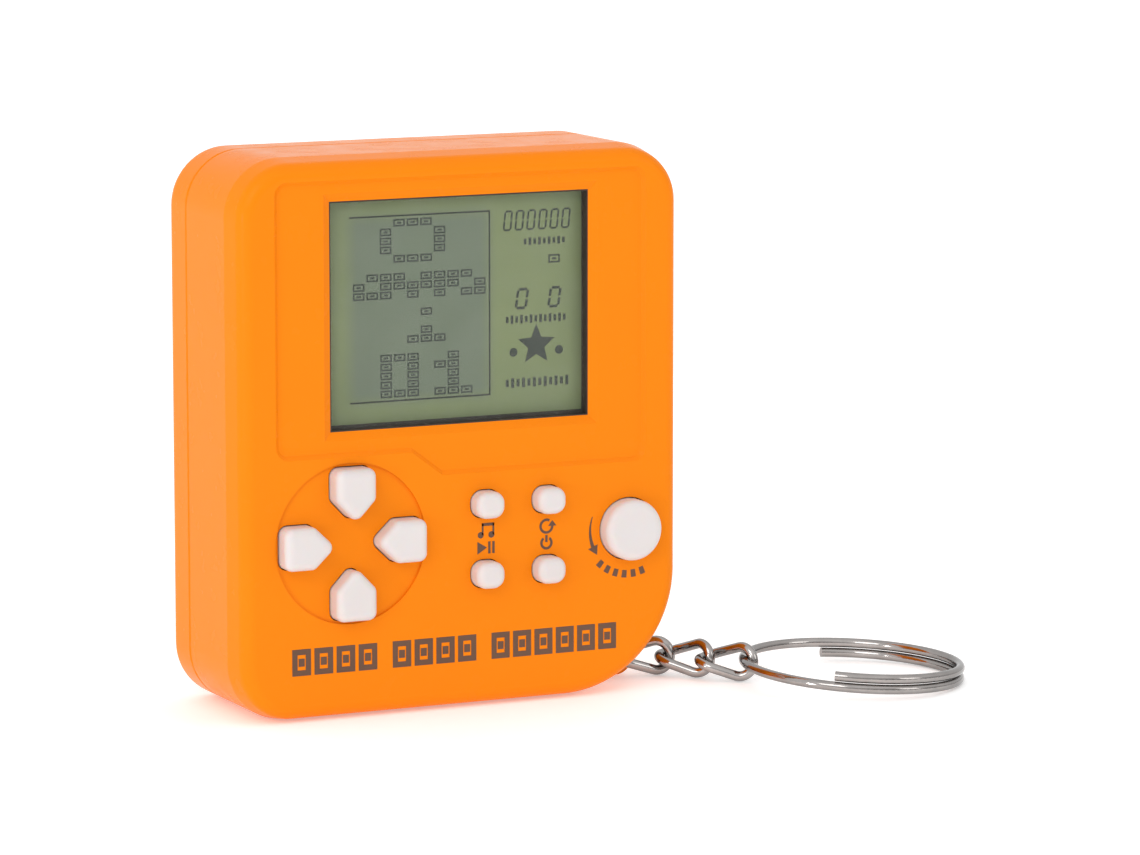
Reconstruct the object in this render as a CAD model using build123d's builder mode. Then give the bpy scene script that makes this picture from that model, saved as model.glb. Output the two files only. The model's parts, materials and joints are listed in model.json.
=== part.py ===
from build123d import *

import os
from math import atan, cos, degrees, radians, sin, tan

# A pocket brick game on a key chain: a two-shell case that stands on its flat lower edge, nine sprung keys
# over rubber domes, a segment display, a circuit board, a buzzer, two button cells behind a screwed door,
# and three twisted links that carry a split ring.
#
# Millimetres. The origin is the middle of the flat bottom face, halfway through the case's depth. +X is the
# player's right, +Y goes away from the player and +Z is up. "Depth" counts rearwards from the front face.

# ---------------------------------------------------------------- case
case_width = 53.6
case_height = 62.0
corner_radius = 6.5          # three corners
thumb_corner_radius = 14.0   # the large lower right corner
wall = 1.8                   # side walls
front_skin = 1.8
back_skin = 1.6
seam_depth = 14.8            # front face to the seam between the shells
draft_depth = 3.7            # the side walls lean in over this depth, up to the front face
draft_inset = 0.6
front_edge_radius = 1.6
back_edge_radius = 1.8
seam_chamfer = 0.25
lip_height = 1.0             # the rear shell's lip inside the front shell
lip_thickness = 0.8
lip_clearance = 0.08

# ---------------------------------------------------------------- screen
window_width = 31.2
window_height = 25.3
window_top_margin = 4.8      # top of the case to the window
bevel_width = 0.9
bevel_depth = 0.5
panel_depth = 0.4            # shallow recess around the window
panel_slope = 0.45           # width of the recess's sloped edge
panel_corner_radius = 1.5
panel_side_margin = 4.4      # side of the case to the recess
panel_top_margin = 2.4
panel_left_drop = 2.7        # window's lower edge down to the recess's edge, on the left
panel_right_drop = 5.45      # and on the right, past the slanted step
panel_step_start = -6.3
panel_step_end = -2.65
lens_margin = 1.6
lens_thickness = 0.6
sheet_corner_radius = 0.3
layer_gap = 0.05
polariser_thickness = 0.2
glass_side_margin = 1.95
glass_top_margin = 1.55
glass_thickness = 0.9
ledge_height = 2.3           # strip of the front glass that carries the contacts
seal_margin = 0.4            # the rear glass reaches this far below the window
reflector_thickness = 0.25
zebra_height = 4.8
zebra_width = 1.7
zebra_end_margin = 1.0
foam_width = 2.5
rib_thickness = 1.0
rib_height = 2.4
rib_clearance = 0.15

# ---------------------------------------------------------------- keys
key_rise = 2.1               # how far the keys stand proud of the front face
key_clearance = 0.13
key_edge_radius = 0.9
flange_margin = 0.5
flange_thickness = 0.75
flange_gap = 0.1
stem_radius = 1.3
arrow_key_width = 4.75
arrow_key_length = 6.0
arrow_key_tip = 2.5          # length of the pointed end
arrow_key_reach = 5.45       # middle of an arrow key to the pad's centre
arrow_corner_radius = 0.95
pad_disc_radius = 8.95
pad_disc_depth = 0.3
pad_side_margin = 13.2       # side of the case to the pad's centre
pad_height = 19.6
small_key_width = 3.4
small_key_height = 3.0
small_corner_radius = 1.3
small_pitch_x = 7.5
small_pitch_z = 7.85
small_height = 15.05         # the lower row's height
small_to_rotate = 10.15      # the right column's distance from the round key
rotate_key_radius = 3.45
rotate_side_margin = 6.6
rotate_height = 18.85

# ---------------------------------------------------------------- rubber mats and board
mat_thickness = 0.8
mat_margin = 0.9
dome_height = 1.4
dome_wall = 0.5
dome_cap = 0.6
dome_draft = 24.0            # degrees
dome_base_radius = 2.6
small_dome_base_radius = 2.2
pill_radius = 0.9
pill_thickness = 0.35
board_thickness = 1.2
board_clearance = 0.8        # case wall to board
component_gap = 2.1          # board to battery bay

# ---------------------------------------------------------------- fastenings
boss_radius = 2.3
boss_corner_reach = 5.05     # corner bosses, in from the walls
thumb_boss_angle = 80.0      # degrees below the horizontal, seen from the large corner's centre
boss_gap = 0.1
screw_radius = 0.95
screw_clearance = 0.05
screw_head_radius = 1.75
screw_head_height = 1.3
screw_length = 7.0
screw_seat = 3.8             # back face of the case to the screw head's seat
screw_seat_wall = 2.4
counterbore_clearance = 0.2
post_radius = 1.8
board_screw_radius = 0.65
board_screw_head_radius = 1.4
board_screw_head_height = 0.9
board_screw_length = 3.4
side_post_margin = 5.1
side_post_z = 30.3
low_post_x = -1.5
low_post_z = 5.2
slot_width = 0.3             # cross slots in the screw heads
slot_reach = 1.2             # their length, in head radii

# ---------------------------------------------------------------- battery bay and door
cell_radius = 5.8
cell_thickness = 5.4
cell_cap_radius = 5.1
cell_cap_height = 0.25
cell_clearance = 0.4
bay_x = -3.2
bay_z = 17.0
bay_wall = 1.2
bay_floor = 1.2
contact_thickness = 0.25
contact_lift = 0.1
contact_size = 7.0
contact_tab_width = 2.4
contact_corner_radius = 1.0
door_thickness = 1.7
door_ledge = 1.6
door_clearance = 0.15
door_corner_radius = 2.0
door_screw_zone = 6.8
door_pad = 1.2               # material under the door's ledge
door_pin_radius = 0.6
door_pin_length = 1.0
door_grip_count = 3

# ---------------------------------------------------------------- buzzer
buzzer_side_margin = 15.8    # right side of the case to the buzzer's middle
buzzer_top_margin = 17.5
buzzer_radius = 7.0
buzzer_thickness = 0.25
ceramic_radius = 4.6
ceramic_thickness = 0.2
buzzer_rim = 1.0
buzzer_rim_height = 1.4
sound_hole_radius = 0.6
sound_hole_circle = 3.2
wire_radius = 0.4
wire_bend_share = 0.45       # share of a straight run that a bend may take up
buzzer_wire_run = 2.6        # straight run off the buzzer
buzzer_wire_lean = 5.0
buzzer_wire_climb = 3.0
buzzer_wire_landing = 2.0    # straight run onto the board
battery_wire_run = 3.0
battery_wire_lean = 2.0

# ---------------------------------------------------------------- parts on the board's back
chip_side_margin = 16.8      # left side of the case to the chip's middle
chip_top_margin = 24.0
chip_radius = 5.0
chip_height = 1.6
chip_edge_radius = 1.28
resistor_size = (1.6, 0.8, 0.5)
resistor_pitch = 4.0
resistor_reach = 8.5         # the rows' distance above and below the chip's middle
capacitor_size = (2.0, 1.25, 0.9)
capacitor_pitch = 3.0
capacitor_reach = 8.0        # the column's distance to the right of the chip's middle
can_side_margin = 9.3
can_top_margin = 13.0
can_radius = 2.0
can_height = 5.0
can_edge_radius = 0.25

# ---------------------------------------------------------------- key chain
lug_angle = 47.65            # degrees below the horizontal, seen from the large corner's centre
lug_reach = 1.9              # outside of the case to the lug's hole
lug_rim = 0.7
lug_hole_play = 0.825        # hole's radius beyond the link wire's
lug_thickness = 0.9
lug_neck_width = 3.4
link_wire_radius = 0.575
link_proportion = 11.2174    # crown to crown, in wire radii
link_corner_share = 3.8261   # half the width that its ends would have with square corners, in wire radii
link_gap = 0.05
link_bend_share = 0.99       # of the largest bend that fits
link_headings = (-20.0, -56.5, -47.0)
ring_heading = -23.0
ring_radius = 12.9           # outside
ring_wire_radius = 0.55
ring_pitch = 1.17
ring_turns = 1.57
ring_start = 78.0            # where the lower end lies, in degrees about the ring
ring_tilt = 3.2

# ---------------------------------------------------------------- worked out from the above
lens_front = front_skin + layer_gap
polariser_front = lens_front + lens_thickness + layer_gap
glass_front = polariser_front + polariser_thickness
reflector_front = glass_front + 2 * glass_thickness
reflector_back = reflector_front + reflector_thickness
board_front = glass_front + glass_thickness + zebra_height
board_back = board_front + board_thickness
bay_front = board_back + component_gap
contact_front = bay_front + bay_floor
cell_front = contact_front + contact_thickness + contact_lift
cell_back = cell_front + cell_thickness
bridge_back = cell_back + contact_thickness
door_front = bridge_back
case_depth = door_front + door_thickness

flange_front = front_skin + flange_gap
flange_back = flange_front + flange_thickness
mat_front = board_front - mat_thickness
dome_front = mat_front - dome_height

window_z = case_height - window_top_margin - window_height / 2
window_bottom = window_z - window_height / 2
glass_width = window_width + 2 * glass_side_margin
glass_top = window_z + window_height / 2 + glass_top_margin
rear_glass_bottom = window_bottom - seal_margin
front_glass_bottom = rear_glass_bottom - ledge_height

pad_x = -case_width / 2 + pad_side_margin
rotate_x = case_width / 2 - rotate_side_margin
small_right_x = rotate_x - small_to_rotate
small_left_x = small_right_x - small_pitch_x

bay_width = 4 * cell_radius + 3 * cell_clearance
bay_height = 2 * (cell_radius + cell_clearance)
cell_pitch = 2 * cell_radius + cell_clearance
door_left = bay_x - bay_width / 2 - door_ledge
door_right = bay_x + bay_width / 2 + door_screw_zone
door_width = door_right - door_left
door_x = (door_left + door_right) / 2
door_height = bay_height + 2 * door_ledge
door_screw_x = bay_x + bay_width / 2 + bay_wall + (door_screw_zone - bay_wall) / 2

buzzer_x = case_width / 2 - buzzer_side_margin
buzzer_z = case_height - buzzer_top_margin
chip_x = -case_width / 2 + chip_side_margin
chip_z = case_height - chip_top_margin
can_x = -case_width / 2 + can_side_margin
can_z = case_height - can_top_margin

thumb_x = case_width / 2 - thumb_corner_radius
thumb_boss_reach = thumb_corner_radius - boss_corner_reach
thumb_boss_x = thumb_x + thumb_boss_reach * cos(radians(thumb_boss_angle))
thumb_boss_z = thumb_corner_radius - thumb_boss_reach * sin(radians(thumb_boss_angle))
side_post_x = case_width / 2 - side_post_margin
lug_centre_reach = thumb_corner_radius + lug_reach
lug_x = thumb_x + lug_centre_reach * cos(radians(lug_angle))
lug_z = thumb_corner_radius - lug_centre_reach * sin(radians(lug_angle))
lug_hole_radius = link_wire_radius + lug_hole_play
lug_radius = lug_hole_radius + lug_rim
link_span = link_proportion * link_wire_radius          # crown to crown, wire centres
link_corner_reach = link_corner_share * link_wire_radius
link_hook = 2 * link_wire_radius + link_gap              # a wire's centre to the wire it hooks round
ring_path_radius = ring_radius - ring_wire_radius

os.makedirs("parts", exist_ok=True)


def at_depth(depth):
    """The plane facing the player, this far behind the front face, with X right and Z up."""
    return Plane.XZ.offset(case_depth / 2 - depth)


def y_at(depth):
    """The Y coordinate of a depth."""
    return depth - case_depth / 2


def save(piece, name):
    """Labels a finished piece and writes it as its node."""
    piece.part.label = name
    export_step(piece.part, f"parts/{name}.step")


def draw_outline(inset=0.0, mode=Mode.ADD):
    """The case seen from the front, drawn this far inside its side walls."""
    left, right = -case_width / 2 + inset, case_width / 2 - inset
    low, high = inset, case_height - inset
    small, large = corner_radius - inset, thumb_corner_radius - inset
    corners = [(left, low), (right, low), (right, high), (left, high)]
    with BuildLine() as edge:
        FilletPolyline(corners, radius=[small, large, small, small], close=True)
    make_face(edge.line, mode=mode)


def draw_panel(inset):
    """The recess around the window, with its slanted step, drawn this far inside its edge."""
    left, right = -case_width / 2 + panel_side_margin + inset, case_width / 2 - panel_side_margin - inset
    high = case_height - panel_top_margin - inset
    low_left = window_bottom - panel_left_drop + inset
    low_right = window_bottom - panel_right_drop + inset
    slant = atan((panel_right_drop - panel_left_drop) / (panel_step_end - panel_step_start))
    shift = inset * tan(slant / 2)
    corners = [
        (left, low_left),
        (panel_step_start + shift, low_left),
        (panel_step_end + shift, low_right),
        (right, low_right),
        (right, high),
        (left, high),
    ]
    radius = panel_corner_radius - inset
    with BuildLine() as edge:
        FilletPolyline(corners, radius=[radius, 0, 0, radius, radius, radius], close=True)
    make_face(edge.line)


def draw_arrow(grow=0.0):
    """An arrow key's five-sided face, pointing along its own -Y."""
    half = arrow_key_width / 2
    far = arrow_key_length / 2
    shoulder = -far + arrow_key_tip
    shape = Polygon((-half, far), (half, far), (half, shoulder), (0, -far), (-half, shoulder), align=None)
    fillet(shape.vertices(), arrow_corner_radius)
    if grow:
        offset(amount=grow, kind=Kind.ARC, mode=Mode.REPLACE)


def draw_small(grow=0.0):
    """A small key's rounded face."""
    RectangleRounded(small_key_width + 2 * grow, small_key_height + 2 * grow, small_corner_radius + grow)


def draw_rotate(grow=0.0):
    """The round key's face."""
    Circle(rotate_key_radius + grow)


# name: face, x, z, turn in degrees, radius of the dome under it
keys = {
    "up": (draw_arrow, pad_x, pad_height + arrow_key_reach, 0, dome_base_radius),
    "down": (draw_arrow, pad_x, pad_height - arrow_key_reach, 180, dome_base_radius),
    "left": (draw_arrow, pad_x - arrow_key_reach, pad_height, 90, dome_base_radius),
    "right": (draw_arrow, pad_x + arrow_key_reach, pad_height, -90, dome_base_radius),
    "music": (draw_small, small_left_x, small_height + small_pitch_z, 0, small_dome_base_radius),
    "start_pause": (draw_small, small_left_x, small_height, 0, small_dome_base_radius),
    "reset": (draw_small, small_right_x, small_height + small_pitch_z, 0, small_dome_base_radius),
    "power": (draw_small, small_right_x, small_height, 0, small_dome_base_radius),
    "rotate": (draw_rotate, rotate_x, rotate_height, 0, dome_base_radius),
}
mats = {
    "dpad_mat": ("up", "down", "left", "right"),
    "button_mat": ("music", "start_pause", "reset", "power", "rotate"),
}

boss_places = [
    (-case_width / 2 + boss_corner_reach, boss_corner_reach),
    (-case_width / 2 + boss_corner_reach, case_height - boss_corner_reach),
    (case_width / 2 - boss_corner_reach, case_height - boss_corner_reach),
    (thumb_boss_x, thumb_boss_z),
]
post_places = [(-side_post_x, side_post_z), (side_post_x, side_post_z), (low_post_x, low_post_z)]
cell_places = [(bay_x - cell_pitch / 2, bay_z), (bay_x + cell_pitch / 2, bay_z)]
pin_places = [(door_left + door_ledge / 2, bay_z + side * bay_height / 3) for side in (-1, 1)]
tube_front = case_depth - screw_seat - screw_seat_wall


def key_plane(name, depth):
    """The plane at this depth, centred on a key and turned with it."""
    _, x, z, turn, _ = keys[name]
    return Plane(at_depth(depth).location * Location((x, z, 0), (0, 0, turn)))


# ---------------------------------------------------------------- front shell
with BuildPart() as front_case:
    with BuildSketch(at_depth(seam_depth)):
        draw_outline()
    extrude(amount=seam_depth - draft_depth)
    with BuildSketch(at_depth(draft_depth)):
        draw_outline()
    extrude(amount=draft_depth, taper=degrees(atan(draft_inset / draft_depth)))
    fillet(front_case.faces().sort_by(Axis.Y)[0].edges(), front_edge_radius)
    chamfer(front_case.faces().sort_by(Axis.Y)[-1].edges(), seam_chamfer)

    # the hollow, and the rabbet for the rear shell's lip
    with BuildSketch(at_depth(seam_depth)):
        draw_outline(wall)
    extrude(amount=seam_depth - front_skin, mode=Mode.SUBTRACT)
    with BuildSketch(at_depth(seam_depth)):
        draw_outline(wall - lip_thickness - lip_clearance)
    extrude(amount=lip_height + lip_clearance, mode=Mode.SUBTRACT)

    # the eyelet for the key chain, on the large corner
    with BuildSketch(Plane.XZ.offset(lug_thickness / 2)):
        with Locations((lug_x, lug_z)):
            Circle(lug_radius)
        with Locations(Location((thumb_x, thumb_corner_radius), -lug_angle)):
            with Locations(((thumb_corner_radius - wall / 2 + lug_centre_reach) / 2, 0)):
                Rectangle(lug_reach + wall / 2, lug_neck_width)
        with Locations((lug_x, lug_z)):
            Circle(lug_hole_radius, mode=Mode.SUBTRACT)
    extrude(amount=-lug_thickness)

    # the recess around the window, the window and its bevel
    with BuildSketch(at_depth(0)):
        draw_panel(0)
    with BuildSketch(at_depth(panel_depth)):
        draw_panel(panel_slope)
    loft(ruled=True, mode=Mode.SUBTRACT)
    with BuildSketch(at_depth(panel_depth)):
        with Locations((0, window_z)):
            Rectangle(window_width + 2 * bevel_width, window_height + 2 * bevel_width)
    with BuildSketch(at_depth(panel_depth + bevel_depth)):
        with Locations((0, window_z)):
            Rectangle(window_width, window_height)
    loft(ruled=True, mode=Mode.SUBTRACT)
    with BuildSketch(at_depth(panel_depth + bevel_depth)):
        with Locations((0, window_z)):
            Rectangle(window_width, window_height)
    extrude(amount=-front_skin, mode=Mode.SUBTRACT)

    # the direction pad's shallow disc, and a hole for each key
    with BuildSketch(at_depth(0)):
        with Locations((pad_x, pad_height)):
            Circle(pad_disc_radius)
    extrude(amount=-pad_disc_depth, mode=Mode.SUBTRACT)
    for name, (draw, *_) in keys.items():
        with BuildSketch(key_plane(name, 0)):
            draw(key_clearance)
        extrude(amount=-2 * front_skin, mode=Mode.SUBTRACT)

    # ribs that locate the display's glass
    rib_x = glass_width / 2 + rib_clearance + rib_thickness / 2
    rib_z = glass_top + rib_clearance + rib_thickness / 2
    with BuildSketch(at_depth(front_skin)):
        with Locations((-rib_x, window_z), (rib_x, window_z)):
            Rectangle(rib_thickness, window_height)
        with Locations((0, rib_z)):
            Rectangle(window_width, rib_thickness)
    extrude(amount=-rib_height)

    # screw bosses for the rear shell and posts for the board
    with BuildSketch(at_depth(front_skin)):
        with Locations(*boss_places):
            Circle(boss_radius)
    extrude(amount=-(tube_front - boss_gap - front_skin))
    with BuildSketch(at_depth(tube_front - boss_gap)):
        with Locations(*boss_places):
            Circle(screw_radius + screw_clearance)
    extrude(amount=screw_length, mode=Mode.SUBTRACT)
    with BuildSketch(at_depth(front_skin)):
        with Locations(*post_places):
            Circle(post_radius)
    extrude(amount=-(board_front - front_skin))
    with BuildSketch(at_depth(board_front)):
        with Locations(*post_places):
            Circle(board_screw_radius + screw_clearance)
    extrude(amount=board_screw_length, mode=Mode.SUBTRACT)
save(front_case, "front_case")

# ---------------------------------------------------------------- rear shell
with BuildPart() as rear_case:
    with BuildSketch(at_depth(seam_depth)):
        draw_outline()
    extrude(amount=-(case_depth - seam_depth))
    fillet(rear_case.faces().sort_by(Axis.Y)[-1].edges(), back_edge_radius)
    chamfer(rear_case.faces().sort_by(Axis.Y)[0].edges(), seam_chamfer)
    with BuildSketch(at_depth(seam_depth)):
        draw_outline(wall)
    extrude(amount=-(case_depth - back_skin - seam_depth), mode=Mode.SUBTRACT)
    with BuildSketch(at_depth(seam_depth)):
        draw_outline(wall - lip_thickness)
        draw_outline(wall, mode=Mode.SUBTRACT)
    extrude(amount=lip_height)
    with BuildSketch(at_depth(seam_depth)):
        draw_outline(wall - lip_thickness)
        draw_outline(wall, mode=Mode.SUBTRACT)
    extrude(amount=-back_skin)

    # tubes for the case screws
    with BuildSketch(at_depth(tube_front)):
        with Locations(*boss_places):
            Circle(boss_radius)
    extrude(amount=-(seam_depth - tube_front))
    with BuildSketch(at_depth(seam_depth)):
        with Locations(*boss_places):
            Circle(boss_radius + bay_wall / 2)
    extrude(amount=-(case_depth - back_skin / 2 - seam_depth))

    # the battery bay, the thick ledge round its mouth and the door screw's boss
    with BuildSketch(at_depth(bay_front)):
        with Locations((bay_x, bay_z)):
            Rectangle(bay_width + 2 * bay_wall, bay_height + 2 * bay_wall)
    extrude(amount=-(case_depth - back_skin - bay_front))
    with BuildSketch(at_depth(door_front - door_pad)):
        with Locations((door_x, bay_z)):
            Rectangle(door_width + 2 * bay_wall, door_height + 2 * bay_wall)
    extrude(amount=-(door_pad + door_thickness / 2))
    with BuildSketch(at_depth(contact_front)):
        with Locations((door_screw_x, bay_z)):
            Circle(boss_radius)
    extrude(amount=-(door_front - contact_front))
    with BuildSketch(at_depth(door_front)):
        with Locations((door_x, bay_z)):
            RectangleRounded(door_width, door_height, door_corner_radius)
            offset(amount=door_clearance)
    extrude(amount=-door_thickness, mode=Mode.SUBTRACT)
    with BuildSketch(at_depth(contact_front)):
        with Locations((bay_x, bay_z)):
            RectangleRounded(bay_width, bay_height, door_corner_radius)
    extrude(amount=-(case_depth - contact_front), mode=Mode.SUBTRACT)
    with BuildSketch(at_depth(door_front)):
        with Locations((door_screw_x, bay_z)):
            Circle(screw_radius + screw_clearance)
        with Locations(*pin_places):
            Circle(door_pin_radius + screw_clearance)
    extrude(amount=door_pad, mode=Mode.SUBTRACT)
    with BuildSketch(at_depth(door_front)):
        with Locations((door_screw_x, bay_z)):
            Circle(screw_radius + screw_clearance)
    extrude(amount=door_front - contact_front - bay_floor, mode=Mode.SUBTRACT)

    # slots for the contacts' tabs, through the bay's floor
    with BuildSketch(at_depth(bay_front)):
        for x, z in cell_places:
            with Locations((x, z - contact_size / 2 + contact_thickness)):
                Rectangle(contact_tab_width + 2 * door_clearance, 4 * contact_thickness)
    extrude(amount=-bay_floor, mode=Mode.SUBTRACT)

    # holes for the case screws and their heads
    with BuildSketch(at_depth(case_depth)):
        with Locations(*boss_places):
            Circle(screw_head_radius + counterbore_clearance)
    extrude(amount=screw_seat, mode=Mode.SUBTRACT)
    with BuildSketch(at_depth(case_depth)):
        with Locations(*boss_places):
            Circle(screw_radius + counterbore_clearance)
    extrude(amount=case_depth - tube_front, mode=Mode.SUBTRACT)

    # the ring that holds the buzzer, and the holes that let its sound out
    with BuildSketch(at_depth(case_depth - back_skin)):
        with Locations((buzzer_x, buzzer_z)):
            Circle(buzzer_radius + rib_clearance + buzzer_rim)
            Circle(buzzer_radius + rib_clearance, mode=Mode.SUBTRACT)
    extrude(amount=buzzer_rim_height)
    with BuildSketch(at_depth(case_depth)):
        with Locations((buzzer_x, buzzer_z)):
            Circle(sound_hole_radius)
            with PolarLocations(sound_hole_circle, 6):
                Circle(sound_hole_radius)
    extrude(amount=back_skin, mode=Mode.SUBTRACT)
save(rear_case, "rear_case")

# ---------------------------------------------------------------- battery door
with BuildPart() as battery_door:
    with BuildSketch(at_depth(door_front)):
        with Locations((door_x, bay_z)):
            RectangleRounded(door_width, door_height, door_corner_radius)
    extrude(amount=-door_thickness)
    with BuildSketch(at_depth(door_front)):
        with Locations(*pin_places):
            Circle(door_pin_radius)
    extrude(amount=door_pin_length)
    with BuildSketch(at_depth(case_depth)):
        with Locations((door_screw_x, bay_z)):
            Circle(screw_head_radius + counterbore_clearance)
    extrude(amount=2 * door_thickness / 3, mode=Mode.SUBTRACT)
    with BuildSketch(at_depth(case_depth)):
        with Locations((door_screw_x, bay_z)):
            Circle(screw_radius + counterbore_clearance / 2)
    extrude(amount=door_thickness, mode=Mode.SUBTRACT)
    with BuildSketch(at_depth(case_depth)):
        for i in range(door_grip_count):
            with Locations((door_left + (2 + i) * door_ledge, bay_z)):
                SlotOverall(door_height / 2, door_ledge / 2, rotation=90)
    extrude(amount=door_thickness / 5, mode=Mode.SUBTRACT)
save(battery_door, "battery_door")


def make_screws(places, seat_depth, head_radius, head_height, radius, length):
    """Pan-head screws driven from behind: a cross-slotted head behind its seat and a shank in front of it."""
    with BuildPart() as screws:
        with BuildSketch(at_depth(seat_depth)):
            with Locations(*places):
                Circle(head_radius)
        extrude(amount=-head_height)
        fillet(screws.edges().group_by(Axis.Y)[-1], head_height / 3)
        with BuildSketch(at_depth(seat_depth)):
            with Locations(*places):
                Circle(radius)
        extrude(amount=length)
        chamfer(screws.edges().group_by(Axis.Y)[0], radius / 3)
        with BuildSketch(at_depth(seat_depth + head_height)):
            with Locations(*places):
                Rectangle(slot_reach * head_radius, slot_width)
                Rectangle(slot_width, slot_reach * head_radius)
        extrude(amount=head_height / 2, mode=Mode.SUBTRACT)
    return screws


save(make_screws(boss_places, case_depth - screw_seat, screw_head_radius, screw_head_height,
                 screw_radius, screw_length), "case_screws")
save(make_screws([(door_screw_x, bay_z)], case_depth - 2 * door_thickness / 3, screw_head_radius,
                 2 * door_thickness / 3, screw_radius, 0.7 * screw_length), "battery_door_screw")
save(make_screws(post_places, board_back, board_screw_head_radius, board_screw_head_height,
                 board_screw_radius, board_thickness + board_screw_length - screw_clearance), "board_screws")


def make_plate(name, depth, thickness, low, high, width):
    """A flat sheet or plate centred on X, between two heights."""
    with BuildPart() as plate:
        with BuildSketch(at_depth(depth)):
            with Locations((0, (low + high) / 2)):
                RectangleRounded(width, high - low, sheet_corner_radius)
        extrude(amount=-thickness)
    save(plate, name)


# ---------------------------------------------------------------- display, from the front backwards
lens_low = window_bottom - lens_margin
lens_high = window_z + window_height / 2 + lens_margin - layer_gap
make_plate("screen_lens", lens_front, lens_thickness, lens_low, lens_high, window_width + 2 * lens_margin)
make_plate("lcd_polariser", polariser_front, polariser_thickness, rear_glass_bottom, glass_top, glass_width)
make_plate("lcd_front_glass", glass_front, glass_thickness, front_glass_bottom, glass_top, glass_width)
make_plate("lcd_rear_glass", glass_front + glass_thickness, glass_thickness, rear_glass_bottom, glass_top,
           glass_width)
make_plate("lcd_reflector", reflector_front, reflector_thickness, rear_glass_bottom, glass_top, glass_width)
zebra_z = (front_glass_bottom + rear_glass_bottom) / 2
make_plate("zebra_strip", glass_front + glass_thickness, zebra_height, zebra_z - zebra_width / 2,
           zebra_z + zebra_width / 2, glass_width - 2 * zebra_end_margin)

with BuildPart() as lcd_foam_pads:
    with BuildSketch(at_depth(reflector_back)):
        with Locations((0, glass_top - foam_width), (0, rear_glass_bottom + foam_width)):
            Rectangle(window_width, foam_width)
    extrude(amount=-(board_front - reflector_back))
save(lcd_foam_pads, "lcd_foam_pads")

# ---------------------------------------------------------------- keys, each over its own rubber dome
for name, (draw, x, z, turn, dome_radius) in keys.items():
    with BuildPart() as key:
        with BuildSketch(key_plane(name, -key_rise)):
            draw()
        extrude(amount=-(key_rise + flange_front))
        fillet(key.faces().sort_by(Axis.Y)[0].edges(), key_edge_radius)
        with BuildSketch(key_plane(name, flange_front)):
            draw(flange_margin)
        extrude(amount=-flange_thickness)
        with BuildSketch(at_depth(flange_back)):
            with Locations((x, z)):
                Circle(stem_radius)
        extrude(amount=-(dome_front - flange_back))
    save(key, f"key_{name}")

    with BuildPart() as dome:
        with BuildSketch(at_depth(mat_front)):
            with Locations((x, z)):
                Circle(dome_radius)
        extrude(amount=dome_height, taper=dome_draft)
        with BuildSketch(at_depth(mat_front)):
            with Locations((x, z)):
                Circle(dome_radius - dome_wall)
        extrude(amount=dome_height - dome_cap, taper=dome_draft, mode=Mode.SUBTRACT)
        with BuildSketch(at_depth(dome_front + dome_cap)):
            with Locations((x, z)):
                Circle(pill_radius)
        extrude(amount=-pill_thickness)
    save(dome, f"dome_{name}")

for mat_name, names in mats.items():
    with BuildPart() as mat:
        with BuildSketch(at_depth(mat_front)):
            for name in names:
                _, x, z, _, dome_radius = keys[name]
                with Locations((x, z)):
                    Circle(dome_radius + mat_margin)
            make_hull()
            for name in names:
                _, x, z, _, _ = keys[name]
                with Locations((x, z)):
                    Circle(stem_radius, mode=Mode.SUBTRACT)
        extrude(amount=-mat_thickness)
    save(mat, mat_name)

# ---------------------------------------------------------------- circuit board and what is on its back
with BuildPart() as circuit_board:
    with BuildSketch(at_depth(board_front)):
        draw_outline(wall + board_clearance)
        with Locations(*boss_places):
            Circle(boss_radius + board_clearance / 2, mode=Mode.SUBTRACT)
        with Locations(*post_places):
            Circle(board_screw_radius + screw_clearance, mode=Mode.SUBTRACT)
    extrude(amount=-board_thickness)
save(circuit_board, "circuit_board")

with BuildPart() as chip_blob:
    with BuildSketch(at_depth(board_back)):
        with Locations((chip_x, chip_z)):
            Circle(chip_radius)
    extrude(amount=-chip_height)
    fillet(chip_blob.edges().group_by(Axis.Y)[-1], chip_edge_radius)
save(chip_blob, "chip_blob")


def make_chips(name, places, length, width, height):
    """A group of small rectangular parts soldered flat on the board's back."""
    with BuildPart() as chips:
        with BuildSketch(at_depth(board_back)):
            with Locations(*places):
                Rectangle(length, width)
        extrude(amount=-height)
    save(chips, name)


resistor_places = [
    (chip_x + i * resistor_pitch, chip_z + side * resistor_reach) for side in (-1, 1) for i in (-1, 0, 1)
]
capacitor_places = [(chip_x + capacitor_reach, chip_z + i * capacitor_pitch) for i in (-1, 0, 1)]
make_chips("resistors", resistor_places, *resistor_size)
make_chips("ceramic_capacitors", capacitor_places, *capacitor_size)

with BuildPart() as electrolytic_capacitor:
    with BuildSketch(at_depth(board_back)):
        with Locations((can_x, can_z)):
            Circle(can_radius)
    extrude(amount=-can_height)
    fillet(electrolytic_capacitor.edges().group_by(Axis.Y)[-1], can_edge_radius)
save(electrolytic_capacitor, "electrolytic_capacitor")

# ---------------------------------------------------------------- cells and contacts
for i, place in enumerate(cell_places):
    cap_forward = i == 0
    cap_plane = at_depth(cell_front if cap_forward else cell_back)
    can_front = cell_front + (cell_cap_height if cap_forward else 0)
    with BuildPart() as cell:
        with BuildSketch(at_depth(can_front)):
            with Locations(place):
                Circle(cell_radius)
        extrude(amount=-(cell_thickness - cell_cap_height))
        fillet(cell.edges().filter_by(GeomType.CIRCLE), cell_cap_height)
        with BuildSketch(cap_plane):
            with Locations(place):
                Circle(cell_cap_radius)
        extrude(amount=-cell_cap_height if cap_forward else cell_cap_height)
    save(cell, f"battery_cell_{i + 1}")

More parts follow.
